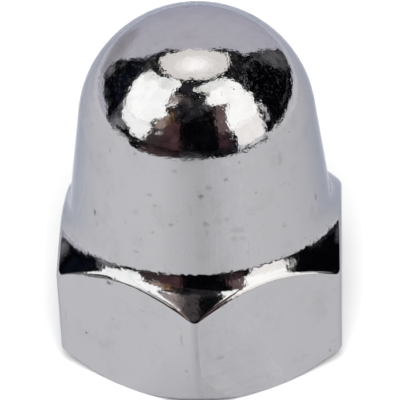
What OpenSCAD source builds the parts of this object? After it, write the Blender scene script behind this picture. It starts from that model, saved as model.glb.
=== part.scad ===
// Domed cap nut with a blind screw thread, cold formed in one piece and plated bright.
//
// The origin is the centre of the bearing face and +Z runs up through the dome. Two flats of the
// hexagon face +X and -X, so two of its corners lie on the Y axis. All sizes are in millimetres.

/* [Hexagon] */
// Width across the flats
across_flats = 7.9; // [6.6:0.1:10]
// Height at which the slope of the upper chamfer would meet the side of the cap
hexagon_h = 3.92; // [2.5:0.02:5]
// Rounding of the six upright edges
corner_r = 0.28; // [0.1:0.02:0.6]
// Slope of the upper chamfer, in degrees from level
upper_chamfer = 44; // [25:1:50]
// Slope of the lower chamfer, in degrees from level
lower_chamfer = 42; // [15:1:45]
// Distance from the flats in to the rim of the bearing face
bearing_inset = 0.03; // [0.02:0.01:0.5]

/* [Cap] */
// Height from the bearing face to the top of the dome
total_h = 10; // [8.3:0.1:13]
// Distance from the flats in to the foot of the cap
shoulder = 0.25; // [0.2:0.01:0.6]
// Lean of the cap's side, in degrees from upright
taper = 7.8; // [0:0.1:12]
// Radius of the hollow between the upper chamfer and the side of the cap
foot_fillet = 1.2; // [0.4:0.05:1.6]

/* [Threaded hole] */
// Nominal diameter of the thread
thread_d = 5; // [4:0.1:6]
// Pitch of the thread
thread_pitch = 0.8; // [0.5:0.05:1]
// Metal left between the tip of the hole and the top of the dome
crown = 2.35; // [2:0.05:4]
// Included angle of the shallow cone that ends the hole
tip_angle = 160; // [118:1:170]
// Reach of the countersink beyond the thread, on the radius
countersink_lip = 0.15; // [0.05:0.01:0.4]
// Included angle of the countersink
countersink_angle = 90; // [90:1:120]

/* [Hidden] */
$fn = 96;

// Cutting shapes and the turned blank run this far past what they trim
margin = 0.2;
// Outlines with arcs are drawn this many times smaller and then scaled up, so that rounding opens
// no gap where an arc runs into a line
fine = 100;

// Hexagon, as distances from the axis
flat_r = across_flats / 2;
corner_centre_r = (flat_r - corner_r) / cos(30);
bearing_r = flat_r - bearing_inset;

// Turned blank, which is wider than the hexagon's corners
blank_r = flat_r / cos(30) + margin;
foot_r = flat_r - shoulder;
lower_chamfer_z = (blank_r - bearing_r) * tan(lower_chamfer);
upper_chamfer_z = hexagon_h - (blank_r - foot_r) * tan(upper_chamfer);

// Dome, of the radius that takes over from the leaning side without an edge
dome_r = (foot_r * cos(taper) - (total_h - hexagon_h) * sin(taper)) / (1 - sin(taper));
dome_centre = [0, total_h - dome_r];
dome_start = dome_centre + dome_r * heading(taper);

// Fillet, which meets the chamfer and the side equally far from where those two would cross
fillet_reach = foot_fillet * tan((90 - taper - upper_chamfer) / 2);
fillet_low = [foot_r, hexagon_h] + fillet_reach * heading(-upper_chamfer);
fillet_high = [foot_r, hexagon_h] + fillet_reach * heading(90 + taper);
fillet_centre = fillet_high + foot_fillet * heading(taper);

// Hole: its wall is the minor diameter, on which the crests of the thread stand
bore_r = thread_d / 2 - 5 / 8 * cos(30) * thread_pitch;
tip_z = total_h - crown;
bore_end_z = tip_z - bore_r / tan(tip_angle / 2);
countersink_r = thread_d / 2 + countersink_lip;
countersink_z = (countersink_r - bore_r) / tan(countersink_angle / 2);

// Unit vector at an angle from the first axis
function heading(angle) = [cos(angle), sin(angle)];

// Half section of the turned blank: both chamfers, the fillet, the leaning side and the dome
module blank_outline() {
    scale(fine) difference() {
        union() {
            polygon([
                [0, 0],
                [bearing_r, 0],
                [blank_r, lower_chamfer_z],
                [blank_r, upper_chamfer_z],
                fillet_low,
                fillet_high,
                dome_start,
                dome_centre
            ] / fine);
            intersection() {
                translate(dome_centre / fine) circle(dome_r / fine);
                translate(dome_centre / fine) square(2 * dome_r / fine);
            }
        }
        translate(fillet_centre / fine) circle(foot_fillet / fine);
    }
}

// Hexagon with rounded corners
module hexagon_outline() {
    corners = [30:60:330];
    scale(fine) {
        polygon([
            for (corner = corners, flat = [-30, 30])
                (corner_centre_r * heading(corner) + corner_r * heading(corner + flat)) / fine
        ]);
        for (corner = corners)
            translate(corner_centre_r * heading(corner) / fine) circle(corner_r / fine);
    }
}

// Blind hole with its countersunk mouth
module threaded_hole() {
    rotate_extrude() polygon([
        [0, -margin],
        [countersink_r + margin * tan(countersink_angle / 2), -margin],
        [bore_r, countersink_z],
        [bore_r, bore_end_z],
        [0, tip_z]
    ]);
}

module cap_nut() {
    color([0.78, 0.79, 0.8]) difference() {
        intersection() {
            rotate_extrude() blank_outline();
            translate([0, 0, -margin]) linear_extrude(total_h + 2 * margin) hexagon_outline();
        }
        threaded_hole();
    }
}

cap_nut();
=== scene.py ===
"""A domed cap nut, plated bright, standing on its bearing face on a pale floor.

The nut is one closed skin of rings: the blind threaded hole from its tip down to the mouth, then
the bearing face, the hexagon, the leaning side and the dome. Lengths are in millimetres until the
skin is made, and the scene itself is in metres. Azimuths and elevations are in degrees, and an
azimuth is 0 on the camera's side and positive on its right.
"""

import math

import bpy
import numpy as np
from mathutils import Matrix, Vector


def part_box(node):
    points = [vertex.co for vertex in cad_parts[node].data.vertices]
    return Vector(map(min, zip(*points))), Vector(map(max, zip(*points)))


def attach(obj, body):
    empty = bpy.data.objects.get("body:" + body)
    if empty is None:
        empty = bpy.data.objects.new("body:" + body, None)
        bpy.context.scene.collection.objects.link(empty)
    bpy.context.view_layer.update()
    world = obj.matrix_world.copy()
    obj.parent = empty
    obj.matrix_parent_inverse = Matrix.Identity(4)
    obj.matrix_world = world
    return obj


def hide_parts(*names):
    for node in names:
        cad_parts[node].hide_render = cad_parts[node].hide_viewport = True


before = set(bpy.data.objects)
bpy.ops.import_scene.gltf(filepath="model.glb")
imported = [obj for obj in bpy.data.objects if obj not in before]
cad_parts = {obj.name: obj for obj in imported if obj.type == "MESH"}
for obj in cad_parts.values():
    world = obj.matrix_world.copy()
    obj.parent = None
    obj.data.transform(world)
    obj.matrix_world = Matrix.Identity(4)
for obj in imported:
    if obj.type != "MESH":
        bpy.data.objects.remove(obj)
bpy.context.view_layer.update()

MM = 0.001
NUT = "cap_nut"
nut_low, nut_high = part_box(NUT)

# Hexagon
across_flats = (nut_high.x - nut_low.x) / MM
hexagon_h = 3.92
corner_r = 0.28
upper_chamfer = math.radians(44)
lower_chamfer = math.radians(42)
bearing_inset = 0.03

# Cap
total_h = nut_high.z / MM
shoulder = 0.25
taper = math.radians(7.8)
foot_fillet = 1.2

# The hollow and the upper chamfer aren't quite level: they stand this much higher on the camera's
# right than in the middle, and as much lower on its left
foot_tilt = 0.04

# Threaded hole
thread_d = 5
thread_pitch = 0.8
crown = 2.35
tip_angle = math.radians(160)
countersink_lip = 0.15
countersink_angle = math.radians(90)
thread_full_z = 5.9
thread_end_z = 6.6
# Form of the thread, as shares of its pitch: one flank, the flat on a crest, and the shifts over
# which the form is averaged to soften it
thread_flank = 5 / 16
thread_crest = 1 / 4
thread_shifts = (-0.03, -0.01, 0.01, 0.03)

# Radii of the edges that the plating has softened: the rim of the bearing face, the foot of the
# flats and the mouth of the hole
rim_edge_r = 0.04
low_edge_r = 0.12
mouth_edge_r = 0.05

# Worn facet on the flats' upper edges: azimuth, how far up the slope the wear reaches there, and
# the facet's lean from upright in degrees
EDGE_WEAR = [
    (-180, 0.12, 24), (-63, 0.15, 21), (-35, 0.22, 26), (-27, 0.20, 29), (-20, 0.20, 30),
    (-12, 0.20, 30), (-4, 0.05, 27), (3, 0.14, 27), (15, 0.15, 27), (22, 0.11, 27),
    (35, 0.11, 27), (50, 0.12, 27), (180, 0.12, 24),
]
# Shape of that facet, as shares of the reach: from the wear's upper end down to the facet's knee,
# how far the knee's curve runs down the facet, and the radius that takes the facet into the flat
knee_share = 0.4
knee_curve_share = 0.4
facet_radius_share = 1.8

# Steps along each stretch of the outline, in order from the hole's tip to the top of the dome
STEPS = {
    "tip": 8, "thread_turn": 20, "mouth": 4, "bearing": 6, "rim": 4, "lower_chamfer": 4,
    "low_edge": 6, "flat": 16, "facet": 8, "hollow": 30, "side": 14, "dome": 43,
}
# Steps round the axis, over a rounded corner and over a flat
corner_columns = 8
flat_columns = 28
# Ends of the outline, where a fan of faces closes the skin
tip_ring_r = 0.1
dome_end = math.radians(89)

# Camera. Its own azimuth is measured from -Y towards +X, and its distance is in millimetres
camera_azimuth = 3.85
camera_elevation = 34.6
camera_distance = 79
camera_roll = -2.4
camera_lens = 253.2
camera_sensor = 36
camera_aim = Vector((-0.015, 0.0, 4.046))
# Nearest and furthest distance that the camera sees, in metres
camera_clip = (0.001, 10)

# Plate: clean, at a grazing angle, and stained
PLATE = (0.43, 0.425, 0.445, 1.0)
EDGE_TINT = (0.60, 0.63, 0.72, 1.0)
STAIN = (0.10, 0.095, 0.085, 1.0)
plate_roughness = 0.065
# How strongly each blemish stains the plate, and what a full stain or smudge adds to its roughness
smudge_strength = 0.10
hairline_strength = 0.22
speck_strength = 0.5
stain_roughness = 0.4
smudge_roughness = 0.05
# Share of the metal that dust on the crown hides, and how much of that dust lies lower down
dust_cover = 0.08
dust_below = 0.05
# Relief of the plate, in thousandths of a millimetre
relief_unit = 0.001
wave_height = 2.0
peel_height = 5.0
grain_height = 1.0
stain_depth = 2.0
# Heights over which the dust on the crown grows in
crown_zone = (8.2, 9.0)
# Heights of the hollow, where the skin is rougher, and of the flats' upper edges, where it is
# smoother. Each grows in from the first to the second and fades from the third to the fourth
hollow_zone = (3.7, 4.0, 4.8, 5.2)
edge_zone = (2.9, 3.1, 3.5, 3.9)
zone_change = 0.5

# Outline of a mark: how ragged it is, and the share of its size at which it starts to fade and the
# one at which it is gone
mark_raggedness = 3.0
mark_fade = (0.1, 1.2)
# Marks on the plate: azimuth, height, half width and half height of the spot, and how strongly it
# shows
MARKS = [
    (0, 6.45, 0.10, 0.09, 0.55),
    (-1, 6.6, 0.12, 0.06, 0.15),
    (4, 6.7, 0.13, 0.08, 0.28),
    (12, 6.9, 0.08, 0.06, 0.40),
    (19, 7.3, 0.05, 0.05, 0.35),
    (26, 6.3, 0.05, 0.05, 0.30),
    (45, 6.1, 0.05, 0.06, 0.35),
    (42, 6.2, 0.18, 0.06, 0.12),
    (41, 7.0, 0.10, 0.26, 0.25),
    (2, 5.65, 0.10, 0.09, 0.38),
    (2, 5.35, 0.07, 0.22, 0.18),
    (7, 5.7, 0.18, 0.12, 0.14),
    (11, 5.7, 0.09, 0.07, 0.20),
    (16, 5.35, 0.24, 0.14, 0.16),
    (14, 5.1, 0.12, 0.09, 0.20),
    (18, 5.05, 0.10, 0.09, 0.18),
    (23, 5.7, 0.20, 0.05, 0.12),
    (39, 5.0, 0.09, 0.09, 0.25),
    (63, 5.1, 0.07, 0.13, 0.45),
    (58, 4.8, 0.20, 0.22, 0.12),
    (-55, 5.15, 0.06, 0.14, 0.75),
    (-53, 4.9, 0.05, 0.16, 0.25),
    (-72, 5.1, 0.06, 0.11, 0.28),
    (-47, 7.3, 0.05, 0.11, 0.25),
    (-32, 7.5, 0.09, 0.06, 0.28),
    (-31, 5.8, 0.11, 0.09, 0.28),
    (-30, 4.6, 0.12, 0.06, 0.22),
    (-24, 6.4, 0.08, 0.06, 0.32),
    (-21, 6.1, 0.08, 0.08, 0.25),
    (-22, 5.3, 0.05, 0.08, 0.28),
    (-12, 7.2, 0.11, 0.06, 0.25),
    (-14, 5.6, 0.12, 0.06, 0.32),
    (-53, 1.45, 0.07, 0.06, 0.50),
    (-40, 2.3, 0.06, 0.07, 0.25),
    (-41, 3.51, 0.12, 0.11, 0.95),
    (-9, 2.4, 0.05, 0.26, 0.30),
    (5, 1.7, 0.15, 0.06, 0.30),
    (10, 2.4, 0.10, 0.06, 0.12),
    (21, 2.7, 0.10, 0.07, 0.12),
]

# Cards round the nut: name, distance in metres, colour, width in degrees over which the edges fade,
# unevenness, and rows of elevation with the left and right azimuth at it. Every card glows. The
# softbox cards stand for lamps; the glow of each other card is painted light, a painted reflection
# of something in the room, lit or in shade
# Glow of the dark cards and of the floor shades: painted shade, all but black
DARK = (0.001, 0.001, 0.0025)
CARDS = [
    # Dark room, down to the floor
    ("dark_room", 0.60, DARK, 1.2, 0.8, [
        (5.5, -132, 143), (10, -132, 139), (20, -131, 134), (30, -126, 129), (40, -122, 123),
        (46, -121, 119), (51, -122, 122), (57, -128, 127), (62, -136, 132), (68, -140, 138),
        (76, -152, 152),
    ]),
    ("dark_rim", 0.085, DARK, 0.6, 0.8, [(-3.4, -56, 37), (-2.5, -66, 37), (3, -66, 37)]),
    ("dark_foot", 0.57, DARK, 0.8, 0.8, [(0, -98, 37), (9, -105, 37)]),
    ("dark_foot_right", 0.45, DARK, 0.8, 0.8, [(-1, 63, 92), (9, 71, 92)]),
    ("dark_foot_back", 0.59, DARK, 0.8, 0.8, [(0.5, 90, 143), (7, 90, 142)]),
    # Left softbox
    ("left_softbox", 0.40, (2.12, 2.15, 2.04), 1.5, 0.05, [
        (19, -86, -51), (25, -89, -46), (30, -91, -40), (35, -95, -35), (39, -96, -36),
        (42, -97, -43), (47, -99, -39), (53, -98, -37), (56, -90, -37), (58, -79, -38),
        (61, -74, -37), (65, -60, -31), (67, -50, -32),
    ]),
    ("left_softbox_top", 0.399, (1.75, 1.79, 1.68), 4.0, 0.1, [
        (44, -99, -88), (52, -98, -78), (56, -90, -45), (61, -74, -38), (67, -50, -32),
    ]),
    ("left_softbox_foot", 0.345, (1.95, 1.97, 1.88), 1.5, 0.05, [
        (4.5, -68, -56), (6, -68, -54), (9, -71, -51), (11, -83, -50), (15, -85, -48),
        (21, -87, -44),
    ]),
    ("left_tongue", 0.395, (1.9, 1.8, 1.75), 1.5, 0.1, [
        (40, -43, -36), (44, -37, -30), (49, -28, -25),
    ]),
    ("left_glint", 0.395, (1.4, 1.35, 1.3), 0.8, 0.1, [
        (15, -43, -39), (16.5, -43, -36), (18, -38, -35),
    ]),
    # Right softbox
    ("right_softbox", 0.40, (2.14, 2.15, 2.02), 1.5, 0.05, [
        (18, 31, 64), (23, 31, 70), (28, 31, 71), (33, 32, 73), (38, 34, 72), (41, 40, 70),
        (44, 26, 71), (46, 15, 71), (49, 12, 72), (54, 18, 72), (58, 18, 70), (59.5, -4, 68),
        (62, -6, 64), (64, 4, 52), (66, 12, 36),
    ]),
    ("right_softbox_top", 0.399, (1.75, 1.76, 1.64), 4.0, 0.1, [
        (55, 30, 72), (58, 18, 70), (59.5, -4, 68), (62, -6, 64), (66, 12, 36),
    ]),
    ("right_softbox_foot", 0.41, (1.85, 1.80, 1.70), 1.5, 0.05, [
        (-0.5, 40, 62), (5, 37, 67), (12, 35, 70), (19, 31, 69), (24, 31, 70),
    ]),
    # Below, beside and above the right softbox
    ("dark_line_right", 0.084, DARK, 0.5, 0.5, [(-3.4, 37, 68), (-0.4, 37, 68)]),
    ("right_sliver", 0.40, (1.25, 1.22, 1.2), 1.0, 0.3, [
        (9, 72, 75), (16, 72, 77), (22, 71, 76), (26, 70, 74),
    ]),
    ("right_veil", 0.55, (0.18, 0.175, 0.18), 4.0, 0.5, [
        (1, 132, 144), (9, 122, 139), (20, 117, 134), (30, 115, 129), (40, 112, 123),
    ]),
    ("right_rim", 0.54, (0.16, 0.16, 0.17), 0.9, 0.8, [(38, 71, 74), (44, 75, 79), (49, 84, 97)]),
    ("right_rim_far", 0.54, (0.13, 0.13, 0.14), 0.9, 0.8, [
        (20, 128, 131), (30, 122, 125), (38, 115, 119), (46, 101, 108), (50, 90, 104),
    ]),
    ("right_top", 0.55, (0.025, 0.025, 0.027), 3.0, 0.6, [(50, 74, 122), (61, 70, 128)]),
    # Beside the left softbox
    ("left_navy", 0.55, (0.028, 0.038, 0.040), 3.0, 0.9, [(4, -118, -98), (12, -116, -98)]),
    ("left_blue", 0.55, (0.004, 0.0055, 0.012), 5.0, 0.8, [(14, -118, -90), (50, -118, -96)]),
    ("left_red", 0.50, (0.20, 0.20, 0.20), 3.0, 0.95, [
        (5.5, -131, -121), (12, -131, -120), (28, -126, -120),
    ]),
    ("left_grey", 0.34, (0.24, 0.24, 0.25), 1.5, 0.8, [
        (-2, -92, -84), (4, -94, -84), (5, -94, -72), (11, -92, -80), (22, -90, -85),
    ]),
    ("left_low_sliver", 0.083, (0.6, 0.6, 0.58), 0.8, 0.5, [(0, -84, -64), (3.2, -84, -64)]),
    # Between the softboxes
    ("left_curtain", 0.50, (0.11, 0.055, 0.06), 3.0, 0.4, [
        (3, -38, -16), (20, -36, -16), (31, -33, -17),
    ]),
    ("left_curtain_low", 0.084, (0.085, 0.05, 0.052), 1.5, 0.6, [(-3.2, -56, -17), (4, -56, -17)]),
    ("left_fold", 0.49, (0.09, 0.065, 0.065), 2.5, 0.6, [
        (3, -56, -35), (12, -52, -34), (20, -45, -34),
    ]),
    ("left_tan", 0.48, (0.55, 0.42, 0.35), 3.0, 0.4, [
        (19, -46, -34), (28, -45, -32), (37, -38, -27),
    ]),
    ("left_brown", 0.485, (0.24, 0.13, 0.06), 3.0, 0.4, [(24, -37, -26), (40, -35, -24)]),
    ("left_top", 0.49, (0.50, 0.42, 0.39), 4.0, 0.4, [
        (42, -46, -27), (50, -46, -20), (56, -38, -18),
    ]),
    ("centre_top", 0.50, (0.15, 0.13, 0.13), 2.5, 0.4, [(47, -27, -5), (56.5, -27, -5)]),
    ("centre_grey", 0.51, (0.03, 0.028, 0.032), 3.0, 0.8, [
        (30, -32, -14), (44, -30, 16), (54, -38, 18),
    ]),
    ("centre_dusk", 0.52, (0.022, 0.021, 0.026), 2.0, 0.7, [(57, -38, 18), (69, -36, 8)]),
    ("right_curtain", 0.50, (0.25, 0.165, 0.165), 1.5, 0.3, [
        (17, 19, 31), (30, 19, 32), (38, 21, 34), (41, 22, 40), (45, 22, 34),
    ]),
    ("right_curtain_low", 0.50, (0.08, 0.042, 0.048), 3.0, 0.5, [(2, 19, 34), (19, 18, 32)]),
    # Behind the nut
    ("back_grey", 0.62, (0.62, 0.59, 0.61), 6.0, 0.1, [
        (-1, -158, -130), (12, -160, -128), (26, -148, -128),
    ]),
]
# Degrees from one point of a card to the next, and the fewest points in a row or column
card_step = 1
card_fewest = 4

# Studio, in metres and degrees
BACKDROP = (0.89, 0.87, 0.94)
backdrop_r = 0.64
backdrop_low = -2
backdrop_grid = (24, 49)
FLOOR_DARKER = (0.88, 0.88, 0.88, 1.0)
FLOOR_LIGHTER = (0.92, 0.92, 0.92, 1.0)
floor_half = 2.0
floor_roughness = 0.9
lamp_points = 96
sun_elevation = 52
sun_width = 36
sun_energy = 3.7
room_light = 0.35
# Painted shade on the floor that only the metal sees: its nearest and furthest distance from the axis
# and its height, in millimetres
shade_near = 4
shade_far = 80
shade_z = 0.03
shade_grid = (20, 21)

# Worked out from the sizes above
flat_r = across_flats / 2
corner_centre_r = (flat_r - corner_r) / math.cos(math.radians(30))
corner_half = math.atan2(corner_r / 2, corner_centre_r + corner_r * math.cos(math.radians(30)))
bearing_r = flat_r - bearing_inset
foot_r = flat_r - shoulder
dome_r = foot_r * math.cos(taper) - (total_h - hexagon_h) * math.sin(taper)
dome_r /= 1 - math.sin(taper)
dome_z = total_h - dome_r
fillet_turn = math.radians(90) - taper - upper_chamfer
fillet_reach = foot_fillet * math.tan(fillet_turn / 2)
fillet_low_r = foot_r + fillet_reach * math.cos(upper_chamfer)
fillet_low_z = hexagon_h - fillet_reach * math.sin(upper_chamfer)
fillet_centre_r = fillet_low_r + foot_fillet * math.sin(upper_chamfer)
fillet_centre_z = fillet_low_z + foot_fillet * math.cos(upper_chamfer)
thread_depth = 2 * thread_flank * math.cos(math.radians(30)) * thread_pitch
bore_r = thread_d / 2 - thread_depth
tip_z = total_h - crown
bore_end_z = tip_z - bore_r / math.tan(tip_angle / 2)
countersink_r = thread_d / 2 + countersink_lip
countersink_z = (countersink_r - bore_r) / math.tan(countersink_angle / 2)


def heading(azimuth, elevation):
    """Unit vector towards an azimuth and elevation. Azimuth 0 is the camera's side."""
    turn = math.radians(camera_azimuth + azimuth)
    rise = math.radians(elevation)
    level = math.cos(rise)
    return Vector((math.sin(turn) * level, -math.cos(turn) * level, math.sin(rise)))


# The nut's skin


def column_angles():
    """Angles round the axis, in radians, closer together over the six corners."""
    corner = np.linspace(-corner_half, corner_half, corner_columns + 1)
    flat = np.linspace(corner_half, math.radians(60) - corner_half, flat_columns + 1)[1:-1]
    sector = np.concatenate([corner, flat])
    starts = np.radians(np.arange(30, 390, 60))
    return (starts[:, None] + sector[None, :]).ravel()


def hexagon_radius(angles):
    """Distance from the axis to the rounded hexagon at each angle."""
    off_corner = (angles - math.radians(30)) % math.radians(60)
    off_corner = np.minimum(off_corner, math.radians(60) - off_corner)
    on_flat = flat_r / np.cos(math.radians(30) - off_corner)
    across = corner_centre_r * np.sin(off_corner)
    on_corner = corner_centre_r * np.cos(off_corner) + np.sqrt(np.maximum(corner_r**2 - across**2, 0))
    return np.where(off_corner < corner_half, on_corner, on_flat)


def point(radius, height, angles):
    """One point of the outline in every upright slice."""
    return np.array([np.broadcast_to(radius, angles.shape), np.broadcast_to(height, angles.shape)])


def straight(start, end, steps):
    """Points from start to end, without the end."""
    shares = np.arange(steps)[:, None, None] / steps
    return start + (end - start) * shares


def rounded(before, corner, after, radius, steps):
    """Arc that rounds a corner of the outline. It starts and ends where it touches the two lines."""
    arriving = (corner - before) / np.linalg.norm(corner - before, axis=0)
    leaving = (after - corner) / np.linalg.norm(after - corner, axis=0)
    turn = np.arctan2(
        arriving[0] * leaving[1] - arriving[1] * leaving[0],
        (arriving * leaving).sum(axis=0),
    )
    reach = radius * np.tan(np.abs(turn) / 2)
    side = np.sign(turn)
    inward = np.array([-arriving[1], arriving[0]]) * side
    centre = corner - arriving * reach + inward * radius
    shares = np.linspace(0, 1, steps + 1)[:, None]
    turned = np.abs(turn) * shares
    return centre + radius * (
        arriving * np.sin(turned)[:, None, :] - inward * np.cos(turned)[:, None, :]
    )


def thread_radius(angles, heights):
    """Radius of the threaded wall: a right-hand screw with flanks 60 degrees apart."""
    phase = (heights / thread_pitch - angles / (2 * math.pi)) % 1
    from_root = np.abs(phase - 0.5)
    groove_half = (1 - thread_crest) / 2
    softened = [(groove_half - from_root - shift) / thread_flank for shift in thread_shifts]
    depth = np.mean([np.clip(share, 0, 1) for share in softened], axis=0)
    runout = np.clip((thread_end_z - heights) / (thread_end_z - thread_full_z), 0, 1)
    return bore_r + thread_depth * depth * runout


def hole_rows(angles):
    """The hole from just below its tip down to the softened edge of its mouth."""
    tip_ring = point(tip_ring_r, tip_z - tip_ring_r / math.tan(tip_angle / 2), angles)
    tip_cone = straight(tip_ring, point(bore_r, bore_end_z, angles), STEPS["tip"])
    edge_reach = mouth_edge_r * math.tan(countersink_angle / 4)
    lowest = edge_reach * math.cos(countersink_angle / 2)
    steps = round((bore_end_z - lowest) / thread_pitch * STEPS["thread_turn"])
    heights = np.linspace(bore_end_z, lowest, steps + 1)[:-1, None]
    cone = countersink_r - heights * math.tan(countersink_angle / 2)
    wall = np.maximum(thread_radius(angles[None, :], heights), cone)
    heights = np.broadcast_to(heights, wall.shape)
    return np.concatenate([tip_cone, np.stack([wall, heights], axis=1)])


def slope_length(radius):
    """Distance from the top of the fillet, down it and the upper chamfer, to a radius."""
    lean = np.arccos(np.clip((fillet_centre_r - radius) / foot_fillet, -1, 1))
    on_fillet = foot_fillet * (lean - taper)
    on_chamfer = foot_fillet * fillet_turn + (radius - fillet_low_r) / math.cos(upper_chamfer)
    return np.where(radius < fillet_low_r, on_fillet, on_chamfer)


def slope_lean(length):
    """Lean of the surface from upright at a distance down the fillet and the upper chamfer."""
    return taper + np.minimum(length / foot_fillet, fillet_turn)


def upwards(lean):
    """Direction up a surface that leans inwards from upright."""
    return np.array([-np.sin(lean), np.cos(lean)])


def slope_point(length):
    """The point at a distance down the fillet and the upper chamfer."""
    lean = slope_lean(length)
    beyond = np.maximum(length - foot_fillet * fillet_turn, 0)
    radius = fillet_centre_r - foot_fillet * np.cos(lean) + beyond * math.cos(upper_chamfer)
    height = fillet_centre_z - foot_fillet * np.sin(lean) - beyond * math.sin(upper_chamfer)
    return np.array([radius, height])


def azimuths(angles):
    """Azimuths, from -180 to 180 degrees, of angles round the axis in radians."""
    return (np.degrees(angles) + 90 - camera_azimuth + 180) % 360 - 180


def edge_wear(angles):
    """Reach and lean, in radians, of the worn facet on the flats' upper edges."""
    places, reaches, leans = zip(*EDGE_WEAR)
    reach = np.interp(azimuths(angles), places, reaches)
    lean = np.interp(azimuths(angles), places, leans)
    return reach, np.radians(lean)


def curve(start, corner, end, steps):
    """Smooth curve that leaves start towards the corner and reaches end from the corner."""
    shares = np.linspace(0, 1, steps + 1)[:, None, None]
    return (1 - shares) ** 2 * start + 2 * shares * (1 - shares) * corner + shares**2 * end


def lower_rows(bearing, flat_low, flat_high, angles):
    """From the mouth of the hole over the bearing face to the rounded foot of the flats."""
    countersink = point(bore_r, countersink_z, angles)
    mouth = point(countersink_r, 0, angles)
    chamfer_length = np.linalg.norm(flat_low - bearing, axis=0)
    low_radius = np.minimum(low_edge_r, chamfer_length)
    mouth_edge = rounded(countersink, mouth, bearing, mouth_edge_r, STEPS["mouth"])
    rim_edge = rounded(mouth, bearing, flat_low, rim_edge_r, STEPS["rim"])
    low_edge = rounded(bearing, flat_low, flat_high, low_radius, STEPS["low_edge"])
    return np.concatenate([
        mouth_edge,
        straight(mouth_edge[-1], rim_edge[0], STEPS["bearing"])[1:],
        rim_edge,
        straight(rim_edge[-1], low_edge[0], STEPS["lower_chamfer"])[1:],
        low_edge,
    ])


def facet_rows(flat_low, hexagon_r, edge_top, slope, reach, facet_lean):
    """The worn facet, with the radius below it and the curve above it."""
    knee = edge_top - knee_share * reach * upwards(slope_lean(slope))
    facet = upwards(facet_lean)
    facet_low = knee - facet * (hexagon_r - knee[0]) / np.sin(facet_lean)
    radius = facet_radius_share * reach
    return np.concatenate([
        rounded(flat_low, facet_low, knee, radius, STEPS["facet"]),
        curve(knee - knee_curve_share * reach * facet, knee, edge_top, STEPS["facet"]),
    ])


def outer_rows(angles):
    """The outside from the mouth of the hole to just below the top of the dome."""
    hexagon_r = hexagon_radius(angles)
    bearing = point(bearing_r, 0, angles)
    flat_low = point(hexagon_r, (hexagon_r - bearing_r) * math.tan(lower_chamfer), angles)

    rise = foot_tilt * np.sin(np.radians(azimuths(angles)))
    lift = rise * np.array([[-math.tan(taper)], [1]])
    slope_end = slope_length(hexagon_r - lift[0])
    flat_high = slope_point(slope_end) + lift
    reach, facet_lean = edge_wear(angles)
    slope = slope_end - reach
    edge_top = slope_point(slope) + lift

    lower = lower_rows(bearing, flat_low, flat_high, angles)
    facet = facet_rows(flat_low, hexagon_r, edge_top, slope, reach, facet_lean)
    slope_shares = np.linspace(1, 0, STEPS["hollow"] + 1)[1:]
    hollow = np.stack([slope_point(slope * share) + lift for share in slope_shares])
    dome = np.stack([
        point(dome_r * math.cos(turn), dome_z + dome_r * math.sin(turn), angles)
        for turn in np.linspace(taper, dome_end, STEPS["dome"] + 1)
    ])
    return np.concatenate([
        lower,
        straight(lower[-1], facet[0], STEPS["flat"])[1:],
        facet,
        hollow,
        straight(hollow[-1], dome[0], STEPS["side"])[1:],
        dome,
    ])


def skin_point(azimuth, height):
    """The point of the hexagon, the slope or the cap's side at an azimuth and height."""
    out = heading(azimuth, 0)
    hexagon_r = hexagon_radius(np.array([math.atan2(out.y, out.x)]))[0]
    cap_r = foot_r - (height - hexagon_h) * math.tan(taper)
    slope_r = foot_r + (hexagon_h - height) / math.tan(upper_chamfer)
    radius = min(hexagon_r, max(cap_r, slope_r))
    return out * radius + Vector((0, 0, height))


def nut_mesh():
    """The closed skin: rings of points joined by four-sided faces, with a fan at each end."""
    angles = column_angles()
    rows = np.concatenate([hole_rows(angles), outer_rows(angles)])
    rings = np.stack([rows[:, 0] * np.cos(angles), rows[:, 0] * np.sin(angles), rows[:, 1]], axis=-1)
    count, across = rings.shape[:2]
    ends = [[0, 0, tip_z], [0, 0, total_h]]
    points = np.concatenate([rings.reshape(-1, 3), ends]) * MM

    here = np.arange(across)
    beside = (here + 1) % across
    faces = []
    for row in range(count - 1):
        low, high = row * across, (row + 1) * across
        faces += np.stack([low + here, low + beside, high + beside, high + here], axis=1).tolist()
    tip, top = count * across, count * across + 1
    last = (count - 1) * across
    faces += [[tip, int(b), int(a)] for a, b in zip(here, beside)]
    faces += [[int(last + a), int(last + b), top] for a, b in zip(here, beside)]

    mesh = bpy.data.meshes.new("plated_nut")
    mesh.from_pydata(points.tolist(), [], faces)
    mesh.validate()
    mesh.polygons.foreach_set("use_smooth", [True] * len(mesh.polygons))
    return mesh


# Materials


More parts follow.
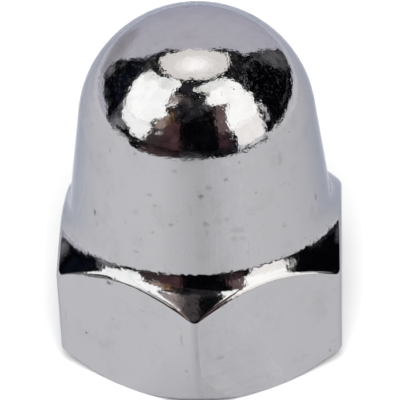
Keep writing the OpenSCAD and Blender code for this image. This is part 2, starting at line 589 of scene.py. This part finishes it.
class Nodes:
    """Adds nodes to a new material and joins them up."""

    def __init__(self, name):
        self.material = bpy.data.materials.new(name)
        self.material.use_nodes = True
        self.tree = self.material.node_tree
        self.shader = self.tree.nodes["Principled BSDF"]

    def add(self, kind, settings=None, **inputs):
        """A new node with these settings. Each input is a value or another node's output."""
        node = self.tree.nodes.new(kind)
        for name, value in (settings or {}).items():
            setattr(node, name, value)
        for name, value in inputs.items():
            self.join(node.inputs[name.replace("_", " ")], value)
        return node

    def join(self, socket, value):
        """Joins another node's output to a socket, or sets the socket to a value."""
        if isinstance(value, bpy.types.NodeSocket):
            self.tree.links.new(value, socket)
        else:
            socket.default_value = value

    def math(self, operation, first, second):
        """The number that an operation makes of two others."""
        node = self.add("ShaderNodeMath", {"operation": operation})
        self.join(node.inputs[0], first)
        self.join(node.inputs[1], second)
        return node.outputs[0]

    def mix(self, share, first, second):
        """The colour at a share of the way from the first to the second."""
        node = self.add("ShaderNodeMix", {"data_type": "RGBA"})
        self.join(node.inputs["Factor"], share)
        self.join(node.inputs["A"], first)
        self.join(node.inputs["B"], second)
        return node.outputs["Result"]

    def ramp(self, value, low, high, low_to=0.0, high_to=1.0):
        """Smooth rise from low_to to high_to as value goes from low to high."""
        node = self.add("ShaderNodeMapRange", {"interpolation_type": "SMOOTHSTEP"})
        self.join(node.inputs["Value"], value)
        self.join(node.inputs["From Min"], low)
        self.join(node.inputs["From Max"], high)
        self.join(node.inputs["To Min"], low_to)
        self.join(node.inputs["To Max"], high_to)
        return node.outputs["Result"]

    def band(self, value, zone):
        """1 between the two middle values of the zone, and 0 beyond its ends."""
        low, low_full, high_full, high = zone
        rising = self.ramp(value, low, low_full)
        falling = self.ramp(value, high_full, high, 1.0, 0.0)
        return self.math("MULTIPLY", rising, falling)

    def vector(self, operation, first, second=(0, 0, 0)):
        """The vector, or the length, that an operation makes of two vectors."""
        node = self.add("ShaderNodeVectorMath", {"operation": operation})
        self.join(node.inputs[0], first)
        self.join(node.inputs[1], second)
        return node.outputs["Value" if operation == "LENGTH" else "Vector"]

    def noise(self, where, scale, detail=2.0, roughness=0.5):
        """Noise from 0 to 1. The scale is about how many blotches go into one unit of where."""
        inputs = {"Vector": where, "Scale": scale, "Detail": detail, "Roughness": roughness}
        return self.add("ShaderNodeTexNoise", **inputs).outputs["Fac"]


def plated_metal():
    """Bright plate over metal: uneven skin, grey smudges, dark specks, hairlines and a few marks."""
    nodes = Nodes("bright_plate")
    place = nodes.add("ShaderNodeTexCoord").outputs["Object"]
    place = nodes.vector("MULTIPLY", place, (1 / MM, 1 / MM, 1 / MM))
    above = nodes.add("ShaderNodeSeparateXYZ", Vector=place).outputs["Z"]

    smudge = nodes.ramp(nodes.noise(place, 1.1, 4.0, 0.65), 0.50, 0.72)
    stain = nodes.math("MULTIPLY", smudge, smudge_strength)
    stain = nodes.math("MAXIMUM", stain, specks_and_hairlines(nodes, place))
    stain = nodes.math("MAXIMUM", stain, hand_marks(nodes, place))
    roughness = nodes.math("ADD", nodes.math("MULTIPLY", stain, stain_roughness), plate_roughness)
    smudged = nodes.math("MULTIPLY", smudge, smudge_roughness)
    roughness = nodes.math("ADD", smudged, roughness)
    relief = plate_relief(nodes, place, above, stain)

    nodes.join(nodes.shader.inputs["Base Color"], nodes.mix(stain, PLATE, STAIN))
    nodes.join(nodes.shader.inputs["Metallic"], dusted(nodes, place, above))
    nodes.join(nodes.shader.inputs["Roughness"], roughness)
    nodes.join(nodes.shader.inputs["Normal"], relief)
    nodes.shader.inputs["Specular Tint"].default_value = EDGE_TINT
    return nodes.material


def specks_and_hairlines(nodes, place):
    """How strongly specks and short scratches show. Both come only in patches."""
    patch = nodes.ramp(nodes.noise(place, 0.8, 2.0), 0.42, 0.62)
    speck = nodes.ramp(nodes.noise(place, 5.5, 2.0, 0.6), 0.70, 0.76)
    upright = nodes.noise(nodes.vector("MULTIPLY", place, (9.0, 9.0, 1.3)), 1.0, 1.0)
    upright = nodes.ramp(upright, 0.70, 0.78)
    across = nodes.noise(nodes.vector("MULTIPLY", place, (1.5, 1.5, 12.0)), 1.0, 1.0)
    across = nodes.ramp(across, 0.72, 0.80)
    hairline = nodes.math("MULTIPLY", nodes.math("MAXIMUM", upright, across), hairline_strength)
    speck = nodes.math("MULTIPLY", speck, speck_strength)
    return nodes.math("MULTIPLY", nodes.math("MAXIMUM", hairline, speck), patch)


def dusted(nodes, place, above):
    """The plate's metallic share, a little lower where dust lies on the crown."""
    crown_dust = nodes.ramp(above, *crown_zone, dust_below, 1.0)
    dust = nodes.ramp(nodes.noise(place, 9.0, 3.0, 0.65), 0.52, 0.75)
    dust = nodes.math("MULTIPLY", dust, crown_dust)
    return nodes.math("SUBTRACT", 1.0, nodes.math("MULTIPLY", dust, dust_cover))


def plate_relief(nodes, place, above, stain):
    """Bumped normal: a slow wave, a finer peel and a grain, and stains that lie a little lower."""
    wave = nodes.noise(place, 1.8, 1.0)
    peel = nodes.noise(place, 5.0, 2.0, 0.6)
    grain = nodes.noise(place, 13.0, 1.0, 0.5)
    rougher = nodes.math("MULTIPLY", nodes.band(above, hollow_zone), zone_change)
    smoother = nodes.math("MULTIPLY", nodes.band(above, edge_zone), zone_change)
    share = nodes.math("SUBTRACT", nodes.math("ADD", rougher, 1.0), smoother)
    peel = nodes.math("MULTIPLY", peel, share)

    height = nodes.math("MULTIPLY", wave, wave_height)
    height = nodes.math("ADD", height, nodes.math("MULTIPLY", peel, peel_height))
    height = nodes.math("ADD", height, nodes.math("MULTIPLY", grain, grain_height))
    height = nodes.math("SUBTRACT", height, nodes.math("MULTIPLY", stain, stain_depth))
    relief = nodes.add("ShaderNodeBump", Strength=1.0, Distance=relief_unit * MM, Height=height)
    return relief.outputs["Normal"]


def hand_marks(nodes, place):
    """Smears and nicks on the side that faces the camera, each a ragged spot round one point."""
    ragged = nodes.noise(place, 9.0, 3.0, 0.65)
    uneven = nodes.math("MULTIPLY", nodes.math("SUBTRACT", ragged, 0.5), mark_raggedness)
    total = 0.0
    for azimuth, height, half_width, half_height, strength in MARKS:
        offset = nodes.vector("SUBTRACT", place, skin_point(azimuth, height))
        offset = nodes.vector("MULTIPLY", offset, (1 / half_width, 1 / half_width, 1 / half_height))
        reach = nodes.vector("LENGTH", offset)
        spot = nodes.ramp(nodes.math("ADD", reach, uneven), *mark_fade, strength, 0.0)
        total = nodes.math("MAXIMUM", spot, total)
    return total


def floor_paint():
    """Matt white board with a faint mottle."""
    nodes = Nodes("white_board")
    place = nodes.add("ShaderNodeTexCoord").outputs["Object"]
    mottle = nodes.noise(place, 60.0, 3.0)
    colour = nodes.mix(mottle, FLOOR_DARKER, FLOOR_LIGHTER)
    nodes.join(nodes.shader.inputs["Base Color"], colour)
    nodes.shader.inputs["Roughness"].default_value = floor_roughness
    nodes.shader.inputs["Specular IOR Level"].default_value = 0.0
    return nodes.material


def card_paint(name, colour, unevenness):
    """Glowing card that fades out where its cover runs to 0. The colour may be brighter than white."""
    nodes = Nodes(name)
    nodes.tree.nodes.remove(nodes.shader)
    place = nodes.add("ShaderNodeTexCoord").outputs["Object"]
    mottle = nodes.noise(place, 14.0, 3.0, 0.55)
    strength = nodes.ramp(mottle, 0.3, 0.7, 1 - unevenness, 1 + unevenness)
    brightest = max(colour)
    glow = nodes.add("ShaderNodeEmission", Strength=nodes.math("MULTIPLY", strength, brightest))
    glow.inputs["Color"].default_value = (*(part / brightest for part in colour), 1.0)
    cover = nodes.add("ShaderNodeAttribute", {"attribute_name": "cover"}).outputs["Fac"]
    card = nodes.add("ShaderNodeMixShader", Fac=cover)
    nodes.join(card.inputs[1], nodes.add("ShaderNodeBsdfTransparent").outputs[0])
    nodes.join(card.inputs[2], glow.outputs[0])
    nodes.join(nodes.tree.nodes["Material Output"].inputs["Surface"], card.outputs[0])
    return nodes.material


# Objects


def shown(name, mesh, material):
    """An object in the scene that shows a mesh in one material."""
    made = bpy.data.objects.new(name, mesh)
    mesh.materials.append(material)
    bpy.context.scene.collection.objects.link(made)
    return made


def make_nut():
    """The nut, which stands for the CAD's solid."""
    nut = shown("plated_nut", nut_mesh(), plated_metal())
    shading = nut.modifiers.new("flat_faces_stay_flat", "WEIGHTED_NORMAL")
    shading.keep_sharp = False
    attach(nut, "root")
    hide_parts(NUT)


def make_floor():
    """Square white board under the nut."""
    corners = [(-1, -1, 0), (1, -1, 0), (1, 1, 0), (-1, 1, 0)]
    mesh = bpy.data.meshes.new("floor")
    mesh.from_pydata([Vector(corner) * floor_half for corner in corners], [], [(0, 1, 2, 3)])
    shown("floor", mesh, floor_paint())


def make_card(name, distance, colour, fade, unevenness, rows):
    """Card on a sphere round the nut that only the metal sees. It fades out towards its edges."""
    elevations = [row[0] for row in rows]
    count = max(card_fewest, round((elevations[-1] - elevations[0]) / card_step) + 1)
    widest = max(row[2] - row[1] for row in rows)
    across = max(card_fewest, round(widest / card_step) + 1)
    centre = Vector((0, 0, total_h / 2 * MM))
    points = []
    cover = []
    for elevation in np.linspace(elevations[0], elevations[-1], count):
        left = np.interp(elevation, elevations, [row[1] for row in rows])
        right = np.interp(elevation, elevations, [row[2] for row in rows])
        from_end = min(elevation - elevations[0], elevations[-1] - elevation)
        for azimuth in np.linspace(left, right, across):
            points.append(centre + heading(azimuth, elevation) * distance)
            from_side = min(azimuth - left, right - azimuth) * math.cos(math.radians(elevation))
            cover.append(min(1, from_end / fade, from_side / fade))
    show_card(name, points, grid_faces(count, across), cover, card_paint(name, colour, unevenness))


def grid_faces(count, across):
    """Four-sided faces between the points of a grid, given in rows."""
    return [
        (row * across + column, row * across + column + 1,
         (row + 1) * across + column + 1, (row + 1) * across + column)
        for row in range(count - 1) for column in range(across - 1)
    ]


def show_card(name, points, faces, cover, material):
    """The metal mirrors a card, and nothing else is lit, shaded or hidden by it."""
    mesh = bpy.data.meshes.new(name)
    mesh.from_pydata(points, [], faces)
    mesh.attributes.new("cover", "FLOAT", "POINT").data.foreach_set("value", cover)
    card = shown(name, mesh, material)
    card.visible_camera = False
    card.visible_diffuse = False
    card.visible_shadow = False
    return card


def make_lamp(name, height, middle, half_width, half_depth, back, solid, colour):
    """Level oval card over the nut, cut off straight at the back. Forward is towards the camera.

    The inner share of it named solid covers fully, and from there it fades out to its rim.
    """
    points = [(0, -middle, height)]
    cover = [1.0]
    turns = np.linspace(0, 2 * math.pi, lamp_points, endpoint=False)
    for share, level in ((solid, 1.0), (1.0, 0.0)):
        for turn in turns:
            forward = max(middle + half_depth * share * math.sin(turn), back)
            points.append((half_width * share * math.cos(turn), -forward, height))
            cover.append(level)
    count = len(turns)
    here = np.arange(count)
    beside = (here + 1) % count
    faces = [(0, int(a) + 1, int(b) + 1) for a, b in zip(here, beside)]
    faces += [
        (int(a) + 1, int(a) + 1 + count, int(b) + 1 + count, int(b) + 1)
        for a, b in zip(here, beside)
    ]
    lamp = show_card(name, points, faces, cover, card_paint(name, colour, unevenness=0.03))
    lamp.rotation_euler.z = math.radians(camera_azimuth)


def make_floor_shade(name, azimuth, half_width, strength):
    """Painted shade that only the metal sees: one side of the floor looks a little darker to it."""
    radii = np.linspace(shade_near, shade_far, shade_grid[0])
    asides = np.linspace(-half_width, half_width, shade_grid[1])
    points = []
    cover = []
    for radius in radii:
        for aside in asides:
            out = heading(azimuth + aside, 0) * radius
            points.append((out + Vector((0, 0, shade_z))) * MM)
            cover.append(strength * (1 - abs(aside) / half_width))
    paint = card_paint(name, DARK, unevenness=0.02)
    show_card(name, points, grid_faces(len(radii), len(asides)), cover, paint)


def make_backdrop():
    """Pale dome over the floor. It lights nothing, so that shadows stay soft and short."""
    elevations = np.linspace(backdrop_low, 90, backdrop_grid[0])
    turns = np.linspace(0, 360, backdrop_grid[1])
    points = [heading(turn, elevation) * backdrop_r for elevation in elevations for turn in turns]
    cover = [1.0] * len(points)
    paint = card_paint("backdrop", BACKDROP, unevenness=0.04)
    faces = grid_faces(len(elevations), len(turns))
    backdrop = show_card("backdrop", points, faces, cover, paint)
    backdrop.visible_camera = True


def make_studio():
    """Floor, backdrop and all that the metal mirrors."""
    make_floor()
    make_backdrop()
    make_floor_shade("front_shade", azimuth=0, half_width=34, strength=0.24)
    make_floor_shade("left_shade", azimuth=-140, half_width=60, strength=0.10)
    make_floor_shade("right_shade", azimuth=130, half_width=120, strength=0.16)
    for card in CARDS:
        make_card(*card)
    make_lamp(
        "overhead_lamp", height=0.50, middle=-0.041, half_width=0.279, half_depth=0.212,
        back=-0.124, solid=0.93, colour=(1.50, 1.46, 1.34),
    )
    make_lamp(
        "overhead_core", height=0.49, middle=0.022, half_width=0.16, half_depth=0.095,
        back=-0.08, solid=0.3, colour=(2.15, 2.12, 2.02),
    )


def make_lights():
    """A pale room, and one broad light from above the camera."""
    world = bpy.data.worlds.new("pale_room")
    world.use_nodes = True
    sky = world.node_tree.nodes["Background"]
    sky.inputs["Color"].default_value = (1.0, 1.0, 1.0, 1.0)
    sky.inputs["Strength"].default_value = room_light
    bpy.context.scene.world = world

    lamp = bpy.data.lights.new("front_light", "SUN")
    lamp.energy = sun_energy
    lamp.angle = math.radians(sun_width)
    light = bpy.data.objects.new("front_light", lamp)
    light.rotation_euler = (-heading(0, sun_elevation)).to_track_quat("-Z", "Y").to_euler()
    light.visible_glossy = False
    bpy.context.scene.collection.objects.link(light)


def make_camera():
    """Long lens at the named angle, turned a little about its own axis."""
    back = heading(0, camera_elevation)
    camera = bpy.data.objects.new("camera", bpy.data.cameras.new("camera"))
    camera.data.lens = camera_lens
    camera.data.sensor_width = camera_sensor
    camera.data.clip_start, camera.data.clip_end = camera_clip
    place = Matrix.Translation((camera_aim + back * camera_distance) * MM)
    turn = (-back).to_track_quat("-Z", "Y").to_matrix().to_4x4()
    camera.matrix_world = place @ turn @ Matrix.Rotation(math.radians(camera_roll), 4, "Z")
    bpy.context.scene.collection.objects.link(camera)
    bpy.context.scene.camera = camera


make_camera()
make_nut()
make_studio()
make_lights()
bpy.context.scene.view_settings.view_transform = "Standard"
